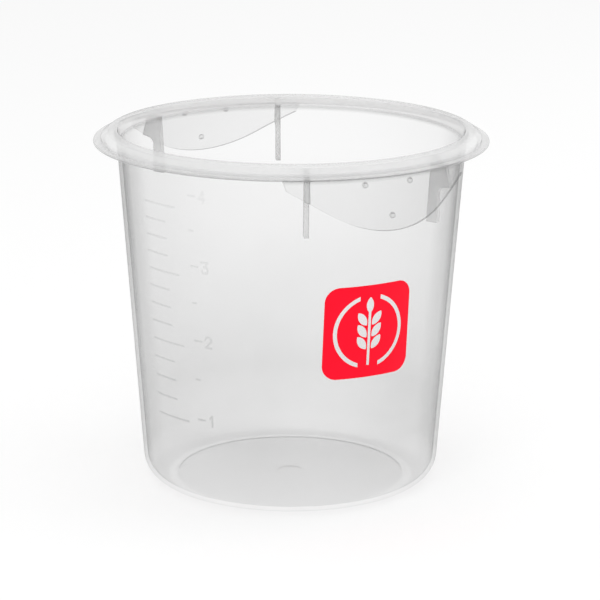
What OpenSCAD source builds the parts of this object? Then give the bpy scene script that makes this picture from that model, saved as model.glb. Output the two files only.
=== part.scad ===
// Round translucent food container with a flanged rim and two finger grips.
// Millimetres. The origin is the centre of the base, on the table, with +Z up.
// The front, where the printed label is, faces -Y.

/* [Wall] */
// Height from the table to the top of the rim
body_h = 197; // [120:1:300]
// Outside diameter of the tapered wall, drawn on down to the table
base_d = 161.8; // [130:0.1:180]
// Outside diameter of the tapered wall where the rim begins
neck_d = 190.2; // [185:0.1:230]
// Distance from the top of the rim down to where the rim begins
neck_drop = 9; // [8:0.5:14]
// Thickness of the wall, measured level
wall_t = 2; // [1.4:0.1:2.6]

/* [Base] */
// Radius of the rounded outside corner between wall and floor
corner_r = 14; // [8:0.5:20]
// Thickness of the floor
floor_t = 2.4; // [1.6:0.1:4]
// Height of the foot ring, which keeps the floor off the table
foot_h = 0.6; // [0.4:0.1:2]
// Width of the foot ring's flat
foot_w = 5.4; // [3:0.1:12]
// Diameter of the gate mark under the floor
gate_d = 13; // [6:0.5:24]
// Depth of the gate mark
gate_depth = 0.3; // [0.1:0.1:0.8]

/* [Rim] */
// Distance from the wall's outside, where the rim begins, out to the crest
crest_out = 0.7; // [0:0.1:2]
// Distance from the crest out to the bend in the top of the rim
bend_out = 3.7; // [2:0.1:5]
// Fall from the crest to that bend
bend_drop = 0.8; // [0.2:0.1:1.4]
// Distance from the crest out to the bead, which a lid closes on
bead_out = 8; // [7.5:0.1:10]
// Fall from the crest to the foot of the rounded shoulder on the bead
bead_drop = 3.1; // [2.2:0.1:3.6]
// Distance from the bead out to the edge of the lip
lip_out = 4.2; // [3.5:0.1:8]
// Thickness of the lip
lip_t = 1.4; // [1:0.1:2]
// Distance from the top of the rim down to the underside of the lip
lip_drop = 7; // [6.4:0.1:7.6]

/* [Handles] */
// Distance from the lip's edge in to the outer face of a handle's skirt
skirt_inset = 1.6; // [1:0.1:2.4]
// Thickness of the skirt
skirt_t = 1.8; // [1.2:0.1:2.4]
// Angle by which the skirt leans out as it goes down
skirt_flare = 16; // [4:1:20]
// Width of the skirt at the lip
skirt_w = 106; // [96:1:120]
// Depth of the skirt's steep ends
skirt_end_h = 5.2; // [2:0.1:10]
// How much narrower the skirt is at the foot of its steep ends
skirt_end_in = 1; // [0:0.1:4]
// Depth of the skirt at its middle, below the lip
skirt_h = 26.7; // [22:0.1:36]
// Slope of the skirt's straight lower edges
skirt_slope = 32; // [28:1:34]
// Diameter of the small round bumps on the skirt
bump_d = 2.8; // [1:0.1:4]
// Distance from the middle of the skirt to each upper bump
bump_out = 13.2; // [6:0.1:24]
// Distance from the lip down to the upper bumps
bump_upper_drop = 3; // [2:0.1:8]
// Distance from the lip down to the lower bump
bump_lower_drop = 19; // [10:0.1:21]

/* [Ribs] */
// Thickness of each rib
rib_t = 2.6; // [1.6:0.1:4]
// Distance from the end of a skirt in to the rib behind it
rib_in = 10.5; // [7:0.5:14]
// Distance from the lip's underside down to the foot of each rib
rib_drop = 31.5; // [28:0.5:60]
// How far a rib stands out from the wall below the skirt
rib_out = 7; // [4:0.1:8]

/* [Scales] */
// Highest volume on both scales, in litres and in quarts
scale_top = 4; // [2:1:4]
// How far the scales stand out from the wall
mark_relief = 0.4; // [0.2:0.1:0.8]
// Width of every line of the scales
mark_w = 0.9; // [0.5:0.1:1.4]
// Angle from the label to the middle of the litre scale
litre_angle = 59.5; // [50:0.5:62]
// Length of the marks at whole litres
litre_long = 5; // [3:0.5:6]
// Length of the marks at half litres
litre_short = 3; // [2:0.5:6]
// Height of the numerals beside the whole litres
digit_h = 6.8; // [4:0.1:10]
// Width of the numerals
digit_w = 4.4; // [3:0.1:6]
// Angle from the label to the middle of the quart scale
quart_angle = 76; // [76:1:90]
// Length of the marks at whole quarts
quart_long = 25; // [12:0.5:26]
// Length of the marks at quarter quarts
quart_short = 17; // [6:0.5:20]

/* [Label] */
// Width and height of the printed label
label_w = 51; // [40:1:60]
// Radius of the label's corners
label_r = 8; // [2:0.5:12]
// Height of the label's middle above the table
label_z = 103.4; // [60:0.1:130]
// Thickness of the print
print_t = 0.15; // [0.1:0.01:0.3]
// Diameter of the broken ring left bare in the print
ring_d = 41; // [30:0.5:46]
// Width of the ring's line
ring_line = 2.2; // [1:0.1:3]
// Opening in the ring above and below the ear of wheat
ring_gap = 12; // [6:0.5:20]
// Width of the stem
stem_w = 1.6; // [0.8:0.1:2]
// Length of the bare stem below the grains
stem_l = 9; // [4:0.5:10]
// Number of pairs of grains
grain_pairs = 3; // [2:1:3]
// Distance between one pair of grains and the next
grain_pitch = 6.6; // [5:0.1:7]
// Length of each grain
grain_l = 9; // [6:0.1:9.5]
// Width of each grain
grain_w = 4.4; // [2:0.1:5]
// Angle between a grain and the stem
grain_lean = 36; // [20:1:45]

/* [Hidden] */
$fn = 96;
// Straight steps in each small arc of the rim's section
arc_steps = 5;

// Heights above the table
neck_z = body_h - neck_drop;
lip_z = body_h - lip_drop;
floor_z = foot_h + floor_t;

// The wall is a cone: its radius grows by wall_k for each millimetre of height
wall_k = (neck_d - base_d) / 2 / neck_z;
lean = atan(wall_k);
function wall_r(z) = base_d / 2 + wall_k * z;
function wall_in_r(z) = wall_r(z) - wall_t;

// The outside corner's centre, and the height where it runs into the wall
corner_x = wall_r(corner_r) - corner_r / cos(lean);
corner_top = corner_r * (1 - sin(lean));
// The inside corner ends at that same height
bowl_r = (corner_top - floor_z) / (1 - sin(lean));
bowl_x = wall_in_r(floor_z + bowl_r) - bowl_r / cos(lean);

// The rim's section follows a line through the middle of its thickness
neck = [wall_r(neck_z) - wall_t / 2, neck_z];
crest = [neck_d / 2 + crest_out, body_h - wall_t / 2];
bend = crest + [bend_out, -bend_drop];
shoulder = [crest.x + bead_out - wall_t / 2, crest.y - bead_drop];
bead_foot = [shoulder.x, lip_z];
lip_mid = lip_z + lip_t / 2;
lip_r = crest.x + bead_out + lip_out;

// The skirt hangs from the lip's underside and leans out as it goes down
skirt_k = tan(skirt_flare);
function skirt_r(z) = lip_r - skirt_inset + skirt_k * (lip_z - z);
skirt_low = lip_z - skirt_h;
end_x = skirt_w / 2 - skirt_end_in;
end_z = lip_z - skirt_end_h;
// Straight edges run down from the steep ends and an arc joins them at the middle
edge_fall = end_x * tan(skirt_slope);
arc_r = (skirt_low - (end_z - edge_fall)) / (1 / cos(skirt_slope) - 1);
arc_z = skirt_low + arc_r;
arc_top = arc_z - arc_r * cos(skirt_slope);

// A rib is as deep as the skirt where it meets the skirt, and shallow below it
rib_foot_z = lip_z - rib_drop;
rib_x = skirt_w / 2 - rib_in;
rib_angle = asin(rib_x / skirt_r(end_z));
rib_skirt_z = end_z - (end_x - rib_x) * tan(skirt_slope);
rib_low_r = wall_r(rib_foot_z) + rib_out;

// Volumes in cubic millimetres
litre = 1e6;
quart = 946353;

// Height to which the container is full when it holds the volume v
function fill_z(v) =
    (pow(pow(wall_in_r(floor_z), 3) + 3 * wall_k * v / PI, 1 / 3) - wall_in_r(0)) / wall_k;

// Direction from one point to another
function heading(from, to) = atan2(to.y - from.y, to.x - from.x);

// Points on an arc about c, from angle a to angle b
function arc_points(c, r, a, b) =
    [for (i = [0 : arc_steps]) let (t = a + (b - a) * i / arc_steps) c + r * [cos(t), sin(t)]];

// Where the line from a over b to c bends: round on its outside, sharp on its inside
function outer_bend(a, b, c) = arc_points(b, wall_t / 2, heading(a, b) + 90, heading(b, c) + 90);
function inner_bend(a, b, c) =
    let (turn = (heading(b, c) - heading(a, b)) / 2, way = heading(a, b) + turn - 90)
    b + wall_t / 2 / cos(turn) * [cos(way), sin(way)];

// Everything inside the wall's outer face, to cut pieces that seat on the wall
module wall_core() {
    cylinder(h = neck_z, r1 = wall_r(0), r2 = wall_r(neck_z));
}

module base() {
    color("whitesmoke") difference() {
        rotate_extrude() difference() {
            rounded_corner(corner_x, corner_r, 0, corner_top);
            rounded_corner(bowl_x, bowl_r, floor_z, corner_top + 1);
        }
        // Recess that leaves the foot ring
        translate([0, 0, -1]) cylinder(h = foot_h + 1, r = corner_x - foot_w);
        // Gate mark
        translate([0, 0, -1]) cylinder(h = foot_h + gate_depth + 1, d = gate_d);
    }
}

// Half section of a round dish: flat from the axis to x, then a corner of radius r
module rounded_corner(x, r, z, top) {
    translate([0, z]) square([x, top - z]);
    intersection() {
        translate([x, z + r]) circle(r);
        translate([x, z]) square([r, top - z]);
    }
}

module wall() {
    color("whitesmoke") rotate_extrude() polygon([
        [wall_in_r(corner_top), corner_top], [wall_r(corner_top), corner_top],
        [wall_r(neck_z), neck_z], [wall_in_r(neck_z), neck_z]
    ]);
}

module rim() {
    half = wall_t / 2;
    color("whitesmoke") rotate_extrude() polygon(concat(
        // Inside of the neck and over the top to the outside of the bead
        [neck - [half, 0]],
        outer_bend(neck, crest, bend),
        outer_bend(crest, bend, shoulder),
        outer_bend(bend, shoulder, bead_foot),
        // Lip with a rounded edge
        [[bead_foot.x + half, lip_z + lip_t]],
        arc_points([lip_r - lip_t / 2, lip_mid], lip_t / 2, 90, -90),
        // Back through the channel under the rim
        [bead_foot - [half, 0]],
        [inner_bend(bend, shoulder, bead_foot)],
        [inner_bend(crest, bend, shoulder)],
        [inner_bend(neck, crest, bend)],
        [neck + [half, 0]]
    ));
}

// The conical band from which the skirt is cut
module skirt_band() {
    z = skirt_low - 1;
    rotate_extrude() polygon([
        [skirt_r(lip_z) - skirt_t, lip_z], [skirt_r(lip_z), lip_z],
        [skirt_r(z), z], [skirt_r(z) - skirt_t, z]
    ]);
}

// Outline of the skirt as seen from the front: a V with a rounded tip
module skirt_outline() {
    intersection() {
        polygon([
            [-skirt_w / 2, lip_z], [-end_x, end_z], [0, end_z - edge_fall],
            [end_x, end_z], [skirt_w / 2, lip_z]
        ]);
        union() {
            translate([0, arc_z]) circle(arc_r);
            translate([-skirt_w, arc_top]) square([2 * skirt_w, skirt_w]);
        }
    }
}

module bump(x, z) {
    r = skirt_r(z);
    translate([x, -sqrt(r * r - x * x), z]) sphere(d = bump_d);
}

module handle() {
    color("whitesmoke") {
        intersection() {
            skirt_band();
            rotate([90, 0, 0]) linear_extrude(2 * lip_r) skirt_outline();
        }
        bump(-bump_out, lip_z - bump_upper_drop);
        bump(bump_out, lip_z - bump_upper_drop);
        bump(0, lip_z - bump_lower_drop);
    }
}

module front_handle() {
    handle();
}

module back_handle() {
    rotate([0, 0, 180]) handle();
}

// Side view of a rib, up to the middle of the wall, rim and skirt that hold it
module rib_outline() {
    middle = skirt_t / 2;
    step = rib_skirt_z - rib_out / 2;
    polygon([
        [wall_r(rib_foot_z) - wall_t / 2, rib_foot_z], [rib_low_r, rib_foot_z],
        [rib_low_r, step], [rib_low_r + wall_t, rib_skirt_z - 1],
        [skirt_r(rib_skirt_z) - middle, rib_skirt_z], [skirt_r(lip_z) - middle, lip_z],
        [skirt_r(lip_z) - middle, lip_mid], [shoulder.x, lip_mid],
        shoulder, bend, crest, neck
    ]);
}

// A rib of the front handle, to the right of the handle's middle where side is 1
module rib(side) {
    color("whitesmoke") difference() {
        rotate([90, 0, side * rib_angle - 90])
            linear_extrude(rib_t, center = true) rib_outline();
        wall_core();
        rim();
        skirt_band();
    }
}

module front_left_rib() {
    rib(-1);
}

module front_right_rib() {
    rib(1);
}

module back_left_rib() {
    rotate([0, 0, 180]) rib(1);
}

module back_right_rib() {
    rotate([0, 0, 180]) rib(-1);
}

// A drawing on the plane of X and Z, laid onto the wall as a skin of thickness t
module on_wall(t, angle) {
    intersection() {
        difference() {
            cylinder(h = neck_z, r1 = wall_r(0) + t, r2 = wall_r(neck_z) + t);
            wall_core();
        }
        rotate([0, 0, -angle]) rotate([90, 0, 0]) linear_extrude(lip_r) children();
    }
}

// One straight line of a numeral, with square ends
module line(from, to) {
    translate(from) rotate(heading(from, to)) translate([-mark_w / 2, -mark_w / 2])
        square([norm(to - from) + mark_w, mark_w]);
}

// The numerals 1 to 4, each drawn as one bent line
module digit(n) {
    x = digit_w - mark_w;
    y = digit_h - mark_w;
    paths = [
        [[0.2, 0.75], [0.55, 1], [0.55, 0]],
        [[0, 0.75], [0.2, 1], [0.8, 1], [1, 0.8], [1, 0.6], [0, 0], [1, 0]],
        [[0, 1], [1, 1], [0.45, 0.6], [0.8, 0.55], [1, 0.35], [1, 0.2], [0.8, 0], [0.2, 0], [0, 0.2]],
        [[0.75, 0], [0.75, 1], [0, 0.3], [1, 0.3]]
    ];
    path = [for (p = paths[n - 1]) [mark_w / 2 + p.x * x, (p.y - 0.5) * y]];
    for (i = [1 : len(path) - 1]) line(path[i - 1], path[i]);
}

// Marks at every step of a unit of volume as high as the wall goes
module marks(unit, step, long, short) {
    for (v = [1 : step : scale_top])
        if (fill_z(v * unit) < neck_z - digit_h)
            translate([0, fill_z(v * unit)]) {
                translate([0, -mark_w / 2]) square([v == floor(v) ? long : short, mark_w]);
                if (v == floor(v) && $children > 0) children(v - 1);
            }
}

module litre_scale() {
    color("gainsboro") on_wall(mark_relief, litre_angle)
        translate([-(litre_long + 2 * mark_w + digit_w) / 2, 0])
            marks(litre, 0.5, litre_long, litre_short) {
                numeral(1);
                numeral(2);
                numeral(3);
                numeral(4);
            }
}

// A numeral just clear of the long mark at its volume
module numeral(n) {
    translate([litre_long + 2 * mark_w, 0]) digit(n);
}

module quart_scale() {
    color("gainsboro") on_wall(mark_relief, quart_angle)
        translate([-quart_long / 2, 0]) marks(quart, 0.25, quart_long, quart_short);
}

module rounded_square(w, r) {
    reach = w / 2 - r;
    square([w, 2 * reach], center = true);
    square([2 * reach, w], center = true);
    for (x = [-reach, reach], y = [-reach, reach]) translate([x, y]) circle(r);
}

// A pointed oval, standing on the origin
module grain() {
    bow_r = (grain_l * grain_l + grain_w * grain_w) / (4 * grain_w);
    intersection_for(side = [-1, 1])
        translate([side * (bow_r - grain_w / 2), grain_l / 2]) circle(bow_r);
}

// An ear of wheat, standing on the foot of its stem
module wheat_ear() {
    ear_z = stem_l + grain_pairs * grain_pitch;
    translate([-stem_w / 2, 0]) square([stem_w, ear_z + grain_l / 2]);
    for (i = [0 : grain_pairs - 1], side = [-1, 1])
        translate([side * stem_w, stem_l + i * grain_pitch]) rotate(-side * grain_lean) grain();
    translate([0, ear_z]) grain();
}

module label_outline() {
    ear_h = stem_l + grain_pairs * grain_pitch + grain_l;
    difference() {
        rounded_square(label_w, label_r);
        difference() {
            circle(d = ring_d);
            circle(d = ring_d - 2 * ring_line);
            square([ring_gap, ring_d], center = true);
        }
        translate([0, -ear_h / 2]) wheat_ear();
    }
}

module label() {
    color("crimson") on_wall(print_t, 0) translate([0, label_z]) label_outline();
}

base();
wall();
rim();
front_handle();
back_handle();
front_left_rib();
front_right_rib();
back_left_rib();
back_right_rib();
litre_scale();
quart_scale();
label();
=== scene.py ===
"""Looks of a round translucent dough proofing container, in metres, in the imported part's frame.

The origin is the centre of the base on the table, +Z is up, and the printed label faces -Y.
"""

import math

import bmesh
import bpy
from mathutils import Matrix, Vector


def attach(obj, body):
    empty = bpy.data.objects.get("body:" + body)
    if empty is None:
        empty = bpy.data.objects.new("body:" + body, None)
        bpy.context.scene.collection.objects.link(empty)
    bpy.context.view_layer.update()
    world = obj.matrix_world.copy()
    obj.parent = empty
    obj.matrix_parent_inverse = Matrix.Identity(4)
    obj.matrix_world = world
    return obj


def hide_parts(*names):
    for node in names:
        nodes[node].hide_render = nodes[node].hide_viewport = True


MM = 0.001

# The tub's driving sizes in millimetres, as in the part's source
BODY_H = 197.0
BASE_D = 161.8
NECK_D = 190.2
NECK_DROP = 9.0
WALL_T = 2.0
CORNER_R = 14.0
FLOOR_T = 2.4
FOOT_H = 0.6
FOOT_W = 5.4
GATE_D = 13.0
GATE_DEPTH = 0.3
CREST_OUT = 0.7
BEND_OUT = 3.7
BEND_DROP = 0.8
BEAD_OUT = 8.0
BEAD_DROP = 3.1
LIP_OUT = 4.2
LIP_T = 1.4
LIP_DROP = 7.0
SKIRT_INSET = 1.6
SKIRT_FLARE = 16.0
BUMP_D = 2.8
BUMP_OUT = 13.2
BUMP_UPPER_DROP = 3.0
BUMP_LOWER_DROP = 19.0

# Sizes that follow from them
CREST_R = NECK_D / 2 + CREST_OUT
BEAD_R = CREST_R + BEAD_OUT
LIP_R = BEAD_R + LIP_OUT
LIP_Z = BODY_H - LIP_DROP
SKIRT_R = LIP_R - SKIRT_INSET

# Fineness of the turned mesh: facets round the tub and along an arc, rings on the wall in millimetres,
# and the angle in degrees from which an edge is sharp
TURN_STEPS = 288
ARC_STEPS = 10
WALL_RINGS = [40, 80, 120, 160]
SHARP_ANGLE = 25.0

# The photo's camera: its turn round the tub, rise and roll in degrees, and its distance, aim and lens
# in millimetres
CAMERA_TURN = -117.8
CAMERA_RISE = 14.806
CAMERA_ROLL = 0.2
CAMERA_AWAY = 1606.4
CAMERA_AIM_Z = 100.0
CAMERA_CLIP_END = 50
SENSOR_MM = 36.0
LENS_MM = 174.06
SHIFT_X = 0.0154
SHIFT_Y = -0.0018

# The plastic's density from face on to edge on, and how much of it counts at each share of the tub's height
EDGE_DENSITY = [(0.0, 0.0), (0.5, 0.04), (0.72, 0.15), (0.86, 0.46), (1.0, 0.97)]
EDGE_BY_HEIGHT = [(0.0, 0.12), (0.018, 0.12), (0.07, 0.6), (0.4, 0.65), (0.8, 1.0)]

# Its density at each share of the height, densest a fifth of the way up, thinning to nothing at the base, and
# most in the rim, the least and most density of any face, and the unevenness of its flow
DENSITY_BY_HEIGHT = [(0.0, 0.0), (0.02, 0.004), (0.07, 0.03), (0.2, 0.08), (0.55, 0.046), (0.85, 0.012),
                  (0.955, 0.012), (0.966, 0.36), (1.0, 0.3)]
THINNEST = 0.008
DENSEST = 0.95
FLOW_SCALE = 14.0
FLOW_DETAIL = 3.0
FLOW_LEAST = 0.5

# Its own grey below the rim and at each share of the height in the rim, and a painted shade that darkens it
# where seen edge on, along the silhouettes
BODY_GREY = 0.1
BODY_TOP = 0.955
RIM_GREY = [(0.964, 0.4), (0.967, 0.5), (0.972, 0.84), (0.993, 0.84), (0.998, 0.66)]
PAINTED_EDGE_SHADE = [(0.0, 1.0), (0.84, 1.0), (0.95, 0.35), (1.0, 0.2)]

# Its fine grain, with the depth in millimetres, and its gloss
GRAIN_SCALE = 220.0
GRAIN_DETAIL = 4.0
GRAIN_STRENGTH = 0.06
GRAIN_DEPTH = 0.4
GLOSS = [(0.3, 0.16), (0.7, 0.26)]
PLASTIC_IOR = 1.49

# Added density round a bump's centre, as shares of this reach, and the upright part of a flat edge's normal
BUMP_REACH = 2 * BUMP_D
BUMP_DENSITY = [(0.0, 0.02), (0.2, 0.03), (0.28, 0.22), (0.36, 0.0)]
FLAT_EDGE = 0.6

# The print's two reds, the scale of their blotches, and its gloss
INK_DEEP = (0.93, 0.002, 0.020, 1)
INK_BRIGHT = (1.0, 0.004, 0.028, 1)
INK_SCALE = 90.0
INK_DETAIL = 4.0
INK_GLOSS = [(0.3, 0.38), (0.7, 0.5)]
INK_SPECULAR = 0.1

# The stage: the world's strength for what it lights and for what is seen, the table top, and the lamps as
# name, size in metres, watts and place in metres
WORLD_STRENGTH = [(0.0, 0.85), (1.0, 1.0)]
TABLE_REACH = 6.0
TABLE_GREY = 0.8
TABLE_GLOW = 0.22
LAMPS = [("key_light", 1.2, 10.0, (-1.2, -1.4, 1.8)), ("fill_light", 1.6, 6.0, (1.6, -0.6, 1.4))]
LAMP_AIM = (0, 0, 0.1)


# Shapes

def arc(cx, cz, r, start, end):
    """Points on an arc about (cx, cz), between two angles in degrees."""
    turns = [math.radians(start + (end - start) * i / ARC_STEPS) for i in range(ARC_STEPS + 1)]
    return [(cx + r * math.cos(a), cz + r * math.sin(a)) for a in turns]


def heading(a, b):
    """The direction from a to b in degrees."""
    return math.degrees(math.atan2(b[1] - a[1], b[0] - a[0]))


def outer_bend(a, b, c, r):
    """The round outside of the bend at b, at r from the middle line through a, b and c."""
    return arc(b[0], b[1], r, heading(a, b) + 90, heading(b, c) + 90)


def inner_bend(a, b, c, r):
    """The sharp inside of that bend."""
    turn = (heading(b, c) - heading(a, b)) / 2
    way = math.radians(heading(a, b) + turn - 90)
    reach = r / math.cos(math.radians(turn))
    return (b[0] + reach * math.cos(way), b[1] + reach * math.sin(way))


def tub_section():
    """The closed section of floor, wall and rim, from the axis under the floor round to the axis above it."""
    neck_z = BODY_H - NECK_DROP
    floor_z = FOOT_H + FLOOR_T
    slope = (NECK_D - BASE_D) / 2 / neck_z
    lean = math.atan(slope)
    lean_deg = math.degrees(lean)

    def wall_r(z):
        return BASE_D / 2 + slope * z

    corner_x = wall_r(CORNER_R) - CORNER_R / math.cos(lean)
    corner_top = CORNER_R * (1 - math.sin(lean))
    bowl_r = (corner_top - floor_z) / (1 - math.sin(lean))
    bowl_x = wall_r(floor_z + bowl_r) - WALL_T - bowl_r / math.cos(lean)
    foot_in = corner_x - FOOT_W
    gate_z = FOOT_H + GATE_DEPTH
    half = WALL_T / 2
    neck = (wall_r(neck_z) - half, neck_z)
    crest = (CREST_R, BODY_H - half)
    bend = (crest[0] + BEND_OUT, crest[1] - BEND_DROP)
    shoulder = (BEAD_R - half, crest[1] - BEAD_DROP)
    bead_foot = (shoulder[0], LIP_Z)
    under = [(0.0, gate_z), (GATE_D / 2, gate_z), (GATE_D / 2, FOOT_H), (foot_in, FOOT_H), (foot_in, 0.0)]
    outside = arc(corner_x, CORNER_R, CORNER_R, -90, -lean_deg)
    wall_out = [(wall_r(z), z) for z in WALL_RINGS] + [(neck[0] + half, neck_z)]
    channel = [inner_bend(neck, crest, bend, half), inner_bend(crest, bend, shoulder, half),
               inner_bend(bend, shoulder, bead_foot, half), (bead_foot[0] - half, LIP_Z)]
    lip = arc(LIP_R - LIP_T / 2, LIP_Z + LIP_T / 2, LIP_T / 2, -90, 90)
    top = [(bead_foot[0] + half, LIP_Z + LIP_T)]
    top += outer_bend(bend, shoulder, bead_foot, half)[::-1]
    top += outer_bend(crest, bend, shoulder, half)[::-1]
    top += outer_bend(neck, crest, bend, half)[::-1]
    wall_in = [(neck[0] - half, neck_z)] + [(wall_r(z) - WALL_T, z) for z in WALL_RINGS[::-1]]
    inside = arc(bowl_x, floor_z + bowl_r, bowl_r, -lean_deg, -90)
    return under + outside + wall_out + channel + lip + top + wall_in + inside + [(0.0, floor_z)]


def new_object(name, data):
    """An object in the scene that holds this data."""
    obj = bpy.data.objects.new(name, data)
    bpy.context.scene.collection.objects.link(obj)
    return obj


def ring(bm, r, z):
    """The vertices of one turn at r and z in millimetres, or the one on the axis."""
    if r == 0:
        return [bm.verts.new((0, 0, z * MM))]
    turns = [2 * math.pi * i / TURN_STEPS for i in range(TURN_STEPS)]
    return [bm.verts.new((r * MM * math.cos(a), r * MM * math.sin(a), z * MM)) for a in turns]


def lathe(name, section):
    """A solid turned about Z from a section in millimetres that starts and ends on the axis."""
    bm = bmesh.new()
    rings = [ring(bm, r, z) for r, z in section]
    for low, high in zip(rings, rings[1:]):
        for i in range(TURN_STEPS):
            j = (i + 1) % TURN_STEPS
            if len(low) == 1:
                bm.faces.new((low[0], high[j], high[i]))
            elif len(high) == 1:
                bm.faces.new((low[i], low[j], high[0]))
            else:
                bm.faces.new((low[i], low[j], high[j], high[i]))
    bmesh.ops.recalc_face_normals(bm, faces=bm.faces)
    mesh = bpy.data.meshes.new(name)
    bm.to_mesh(mesh)
    bm.free()
    mesh.shade_smooth()
    mesh.set_sharp_from_angle(angle=math.radians(SHARP_ANGLE))
    return new_object(name, mesh)


def bump_centres():
    """The front skirt's bumps, each as a place in metres."""
    places = []
    for x, drop in ((-BUMP_OUT, BUMP_UPPER_DROP), (BUMP_OUT, BUMP_UPPER_DROP), (0.0, BUMP_LOWER_DROP)):
        r = SKIRT_R + math.tan(math.radians(SKIRT_FLARE)) * drop
        places.append((x * MM, -math.sqrt(r * r - x * x) * MM, (LIP_Z - drop) * MM))
    return places


# Materials

def new_material(name):
    """A node material with nothing in it yet, and its tree."""
    mat = bpy.data.materials.new(name)
    mat.use_nodes = True
    mat.node_tree.nodes.clear()
    return mat, mat.node_tree


def set_material(obj, mat):
    """Makes this the object's only material."""
    obj.data.materials.clear()
    obj.data.materials.append(mat)


def add(tree, kind, **values):
    """A node of this kind. Keys are its own settings, or else its sockets, with _ for a space."""
    node = tree.nodes.new(kind)
    for key, value in values.items():
        if hasattr(node, key):
            setattr(node, key, value)
        else:
            node.inputs[key.replace("_", " ")].default_value = value
    return node


def show(tree, shader, kind="ShaderNodeOutputMaterial"):
    """Ends the tree with this shader on its surface."""
    tree.links.new(shader, add(tree, kind).inputs["Surface"])


def ramp(tree, factor, stops):
    """A grey ramp through (position, value) stops."""
    node = add(tree, "ShaderNodeValToRGB")
    elements = node.color_ramp.elements
    while len(elements) < len(stops):
        elements.new(0.5)
    for element, (position, value) in zip(elements, stops):
        element.position = position
        element.color = (value, value, value, 1)
    tree.links.new(factor, node.inputs["Fac"])
    return node.outputs["Color"]


def math_node(tree, operation, *values):
    """What a Math node makes of these values, which are numbers or outputs."""
    node = add(tree, "ShaderNodeMath", operation=operation)
    for socket, value in zip(node.inputs, values):
        if isinstance(value, (int, float)):
            socket.default_value = value
        else:
            tree.links.new(value, socket)
    return node.outputs["Value"]


def axes(tree, vector):
    """The X, Y and Z of a vector."""
    node = add(tree, "ShaderNodeSeparateXYZ")
    tree.links.new(vector, node.inputs[0])
    return node.outputs


def moulded_surface():
    """The group that the tub's pieces share: density by height with its flow, fine grain and gloss."""
    tree = bpy.data.node_groups.new("moulded_surface", "ShaderNodeTree")
    tree.interface.new_socket("Place", in_out="INPUT", socket_type="NodeSocketVector")
    for label in ("Height", "Flow Scale", "Grain Scale"):
        tree.interface.new_socket(label, in_out="INPUT", socket_type="NodeSocketFloat")
    for label in ("Haze", "Grain", "Roughness"):
        tree.interface.new_socket(label, in_out="OUTPUT", socket_type="NodeSocketFloat")
    given = add(tree, "NodeGroupInput").outputs
    result = add(tree, "NodeGroupOutput").inputs
    flow = add(tree, "ShaderNodeTexNoise", Detail=FLOW_DETAIL)
    grain = add(tree, "ShaderNodeTexNoise", Detail=GRAIN_DETAIL)
    for noise, scale in ((flow, "Flow Scale"), (grain, "Grain Scale")):
        tree.links.new(given["Place"], noise.inputs["Vector"])
        tree.links.new(given[scale], noise.inputs["Scale"])
    unevenness = math_node(tree, "ADD", flow.outputs["Fac"], FLOW_LEAST)
    haze = math_node(tree, "MULTIPLY", ramp(tree, given["Height"], DENSITY_BY_HEIGHT), unevenness)
    tree.links.new(haze, result["Haze"])
    tree.links.new(grain.outputs["Fac"], result["Grain"])
    tree.links.new(ramp(tree, grain.outputs["Fac"], GLOSS), result["Roughness"])
    return tree


def flat_edges(tree):
    """1 where a face looks up or down, such as a skirt's cut edge, and 0 elsewhere."""
    normal = axes(tree, add(tree, "ShaderNodeNewGeometry").outputs["Normal"])
    return math_node(tree, "GREATER_THAN", math_node(tree, "ABSOLUTE", normal["Z"]), FLAT_EDGE)


def front_place(tree, place):
    """The place turned onto the front half, so that one list of bumps serves both handles."""
    parts = axes(tree, place)
    front_y = math_node(tree, "MULTIPLY", math_node(tree, "ABSOLUTE", parts["Y"]), -1.0)
    turned = add(tree, "ShaderNodeCombineXYZ")
    for axis, value in (("X", parts["X"]), ("Y", front_y), ("Z", parts["Z"])):
        tree.links.new(value, turned.inputs[axis])
    return turned.outputs["Vector"]


def bump_density(tree, place, centre):
    """Added density near one bump, most at its foot."""
    away = add(tree, "ShaderNodeVectorMath", operation="DISTANCE")
    tree.links.new(front_place(tree, place), away.inputs[0])
    away.inputs[1].default_value = centre
    return ramp(tree, math_node(tree, "DIVIDE", away.outputs["Value"], BUMP_REACH * MM), BUMP_DENSITY)


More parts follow.
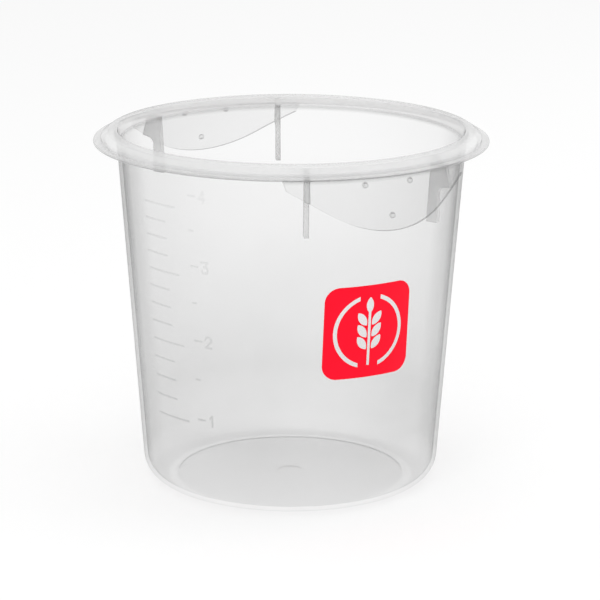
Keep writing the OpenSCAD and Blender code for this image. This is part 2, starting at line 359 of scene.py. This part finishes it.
def clear_plastic(surface, name, extra=0.0, share=1.0, cut_edges=0.0, bumps=(), grey=BODY_GREY):
    """Thin milky polypropylene: nearly clear face on, grey edge on with a painted shade that darkens its
    colour there, denser low down and milkier in the rim.

    extra is added to its density all over, cut_edges where a face looks up or down, and more at each bump.
    share scales the density, and grey is the plastic's own colour below the rim.
    """
    mat, tree = new_material(name)
    place = add(tree, "ShaderNodeTexCoord").outputs["Object"]
    height = math_node(tree, "DIVIDE", axes(tree, place)["Z"], BODY_H * MM)
    facing = add(tree, "ShaderNodeLayerWeight", Blend=0.5).outputs["Facing"]
    moulded = add(tree, "ShaderNodeGroup", node_tree=surface, Flow_Scale=FLOW_SCALE, Grain_Scale=GRAIN_SCALE)
    tree.links.new(place, moulded.inputs["Place"])
    tree.links.new(height, moulded.inputs["Height"])
    edge = math_node(tree, "MULTIPLY", ramp(tree, facing, EDGE_DENSITY), ramp(tree, height, EDGE_BY_HEIGHT))
    density = math_node(tree, "ADD", moulded.outputs["Haze"], THINNEST + extra)
    density = math_node(tree, "ADD", density, edge)
    if cut_edges:
        density = math_node(tree, "ADD", density, math_node(tree, "MULTIPLY", flat_edges(tree), cut_edges))
    for centre in bumps:
        density = math_node(tree, "ADD", density, bump_density(tree, place, centre))
    density = math_node(tree, "MINIMUM", math_node(tree, "MULTIPLY", density, share), DENSEST)
    own_grey = ramp(tree, height, [(0.0, grey), (BODY_TOP, grey)] + RIM_GREY)
    # Its own grey, darkened by a painted shade where it is seen edge on
    colour = math_node(tree, "MULTIPLY", own_grey, ramp(tree, facing, PAINTED_EDGE_SHADE))
    bump = add(tree, "ShaderNodeBump", Strength=GRAIN_STRENGTH, Distance=GRAIN_DEPTH * MM)
    tree.links.new(moulded.outputs["Grain"], bump.inputs["Height"])
    shade = add(tree, "ShaderNodeBsdfPrincipled", IOR=PLASTIC_IOR)
    tree.links.new(colour, shade.inputs["Base Color"])
    tree.links.new(density, shade.inputs["Alpha"])
    tree.links.new(moulded.outputs["Roughness"], shade.inputs["Roughness"])
    tree.links.new(bump.outputs["Normal"], shade.inputs["Normal"])
    show(tree, shade.outputs[0])
    return mat


def red_print():
    """Screen-printed red ink with a slight unevenness and its own soft gloss."""
    mat, tree = new_material("red_print")
    place = add(tree, "ShaderNodeTexCoord").outputs["Object"]
    blotch = add(tree, "ShaderNodeTexNoise", Scale=INK_SCALE, Detail=INK_DETAIL)
    tree.links.new(place, blotch.inputs["Vector"])
    mix = add(tree, "ShaderNodeMix", data_type="RGBA", A=INK_DEEP, B=INK_BRIGHT)
    tree.links.new(blotch.outputs["Fac"], mix.inputs["Factor"])
    shade = add(tree, "ShaderNodeBsdfPrincipled", Specular_IOR_Level=INK_SPECULAR)
    tree.links.new(mix.outputs["Result"], shade.inputs["Base Color"])
    tree.links.new(ramp(tree, blotch.outputs["Fac"], INK_GLOSS), shade.inputs["Roughness"])
    show(tree, shade.outputs[0])
    return mat


# Stage, light and camera

def white_world():
    """White for what the camera sees, and a softer grey for what lights the tub."""
    world = bpy.data.worlds.new("backdrop")
    bpy.context.scene.world = world
    world.use_nodes = True
    tree = world.node_tree
    tree.nodes.clear()
    path = add(tree, "ShaderNodeLightPath").outputs
    seen = math_node(tree, "MAXIMUM", path["Is Camera Ray"], path["Is Glossy Ray"])
    seen = math_node(tree, "MAXIMUM", seen, path["Is Transmission Ray"])
    white = add(tree, "ShaderNodeBackground", Color=(1, 1, 1, 1))
    tree.links.new(ramp(tree, seen, WORLD_STRENGTH), white.inputs["Strength"])
    show(tree, white.outputs[0], "ShaderNodeOutputWorld")


def table_top():
    """A plain pale floor under the tub."""
    mesh = bpy.data.meshes.new("floor")
    corners = [(x * TABLE_REACH, y * TABLE_REACH, 0) for x, y in ((-1, -1), (1, -1), (1, 1), (-1, 1))]
    mesh.from_pydata(corners, [], [(0, 1, 2, 3)])
    obj = new_object("floor", mesh)
    mat, tree = new_material("floor")
    matt = add(tree, "ShaderNodeBsdfDiffuse", Color=(TABLE_GREY, TABLE_GREY, TABLE_GREY, 1))
    glow = add(tree, "ShaderNodeEmission", Strength=TABLE_GLOW)
    both = add(tree, "ShaderNodeAddShader")
    tree.links.new(matt.outputs[0], both.inputs[0])
    tree.links.new(glow.outputs[0], both.inputs[1])
    show(tree, both.outputs[0])
    set_material(obj, mat)
    return obj


def lamp(name, size, watts, place):
    """A square area lamp that points at the tub."""
    data = bpy.data.lights.new(name, "AREA")
    data.size = size
    data.energy = watts
    obj = new_object(name, data)
    obj.location = place
    obj.rotation_euler = (Vector(LAMP_AIM) - Vector(place)).to_track_quat("-Z", "Y").to_euler()


def camera():
    """The photo's view of the tub."""
    data = bpy.data.cameras.new("camera")
    data.sensor_width = SENSOR_MM
    data.lens = LENS_MM
    data.shift_x = SHIFT_X
    data.shift_y = SHIFT_Y
    data.clip_end = CAMERA_CLIP_END
    obj = new_object("camera", data)
    turn = math.radians(CAMERA_TURN)
    rise = math.radians(CAMERA_RISE)
    aim = Vector((0, 0, CAMERA_AIM_Z * MM))
    away = Vector((math.cos(turn) * math.cos(rise), math.sin(turn) * math.cos(rise), math.sin(rise)))
    look = (-away).to_track_quat("-Z", "Y").to_matrix().to_4x4()
    obj.location = aim + away * CAMERA_AWAY * MM
    obj.rotation_euler = (look @ Matrix.Rotation(math.radians(CAMERA_ROLL), 4, "Z")).to_euler()
    bpy.context.scene.camera = obj


# Scene

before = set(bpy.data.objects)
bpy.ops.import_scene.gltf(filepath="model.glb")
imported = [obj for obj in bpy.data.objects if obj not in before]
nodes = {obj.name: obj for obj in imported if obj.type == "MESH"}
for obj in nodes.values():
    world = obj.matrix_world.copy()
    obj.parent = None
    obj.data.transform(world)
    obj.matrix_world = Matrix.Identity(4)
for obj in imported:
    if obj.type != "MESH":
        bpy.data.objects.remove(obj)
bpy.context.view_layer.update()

bpy.context.scene.view_settings.view_transform = "Standard"
camera()
white_world()
table_top()
for name, size, watts, place in LAMPS:
    lamp(name, size, watts, place)

surface = moulded_surface()
tub = lathe("tub", tub_section())
set_material(tub, clear_plastic(surface, "clear_plastic"))
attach(tub, "root")
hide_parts("base", "wall", "rim")

grip = clear_plastic(surface, "grip_plastic", extra=0.02, cut_edges=0.3, bumps=bump_centres())
for name in ("front_handle", "back_handle"):
    set_material(nodes[name], grip)
rib = clear_plastic(surface, "rib_plastic", extra=0.42, grey=0.68)
for name in ("front_left_rib", "front_right_rib", "back_left_rib", "back_right_rib"):
    set_material(nodes[name], rib)
relief = clear_plastic(surface, "relief_plastic", share=0.75)
for name in ("litre_scale", "quart_scale"):
    set_material(nodes[name], relief)
set_material(nodes["label"], red_print())
